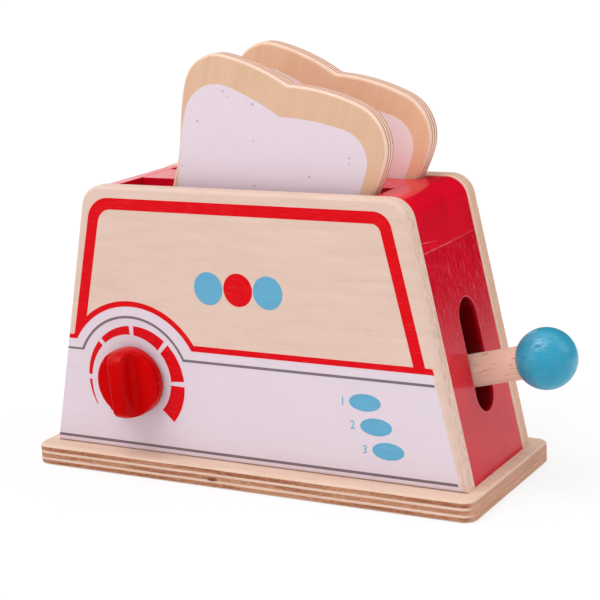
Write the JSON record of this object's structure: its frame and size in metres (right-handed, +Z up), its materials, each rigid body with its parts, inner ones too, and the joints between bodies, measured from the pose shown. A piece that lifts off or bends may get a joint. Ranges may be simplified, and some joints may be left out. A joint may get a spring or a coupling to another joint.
{
  "type": "toy toaster",
  "caption": "Wooden toy pop-up toaster with a slanted red body, two slices of toast on a rocking cradle, a ball-ended lever and a turning dial knob.",
  "frame": {"origin": "centre of the base plate's underside, which is the face the toaster stands on", "axes": "+X to the right, towards the ball lever; +Y to the back; +Z up"},
  "size_m": [0.2346, 0.0909, 0.1793],
  "materials": {
    "birch_plywood": "pale birch plywood, sanded, clear satin varnish, ply layers on the edges",
    "red_lacquer": "red gloss lacquer over wood with faint open grain",
    "beech": "plain beech dowel and block wood with dark flecks",
    "blue_lacquer": "blue satin lacquer over a turned wooden ball",
    "toast_plywood": "tan stained plywood crust, ply layers on the edges",
    "red_knob_lacquer": "red gloss lacquer on a turned and scooped wooden knob",
    "zinc_steel": "bright zinc-plated steel"
  },
  "bodies": {
    "toaster_body": {"base_plate": "birch_plywood", "front_panel": "birch_plywood", "back_panel": "birch_plywood", "left_end_panel": "red_lacquer", "right_end_panel": "red_lacquer", "left_top_block": "red_lacquer", "right_top_block": "red_lacquer", "centre_rail": "red_lacquer", "front_dowels": "beech", "back_dowels": "beech", "rail_dowels": "beech", "base_screws": "zinc_steel", "pivot_pin": "beech", "front_spacer": "beech", "rear_spacer": "beech"},
    "rocker": {"rocker_block": "beech", "cradle_board": "birch_plywood", "cradle_batten": "birch_plywood", "cradle_stop": "birch_plywood", "lever_rod": "beech", "lever_ball": "blue_lacquer"},
    "front_slice": {"front_toast": "toast_plywood"},
    "rear_slice": {"rear_toast": "toast_plywood"},
    "dial": {"dial_knob": "red_knob_lacquer", "knob_screw": "zinc_steel", "knob_front_washer": "zinc_steel", "knob_back_washer": "zinc_steel"}
  },
  "joints": [
    {"name": "lever_rock", "type": "hinge", "parent": "toaster_body", "child": "rocker", "pos_m": [0.017, 0.002, 0.04], "axis": [0, 1, 0], "range_deg": [-17.5, 0]},
    {"name": "front_toast_lift", "type": "slide", "parent": "rocker", "child": "front_slice", "axis": [0.3007, 0, 0.9537], "range_m": [0, 0.08]},
    {"name": "rear_toast_lift", "type": "slide", "parent": "rocker", "child": "rear_slice", "axis": [0.3239, 0, 0.9461], "range_m": [0, 0.08]},
    {"name": "dial_turn", "type": "hinge", "parent": "toaster_body", "child": "dial", "pos_m": [-0.0544, -0.0335, 0.041], "axis": [0, -1, 0], "continuous": true}
  ]
}
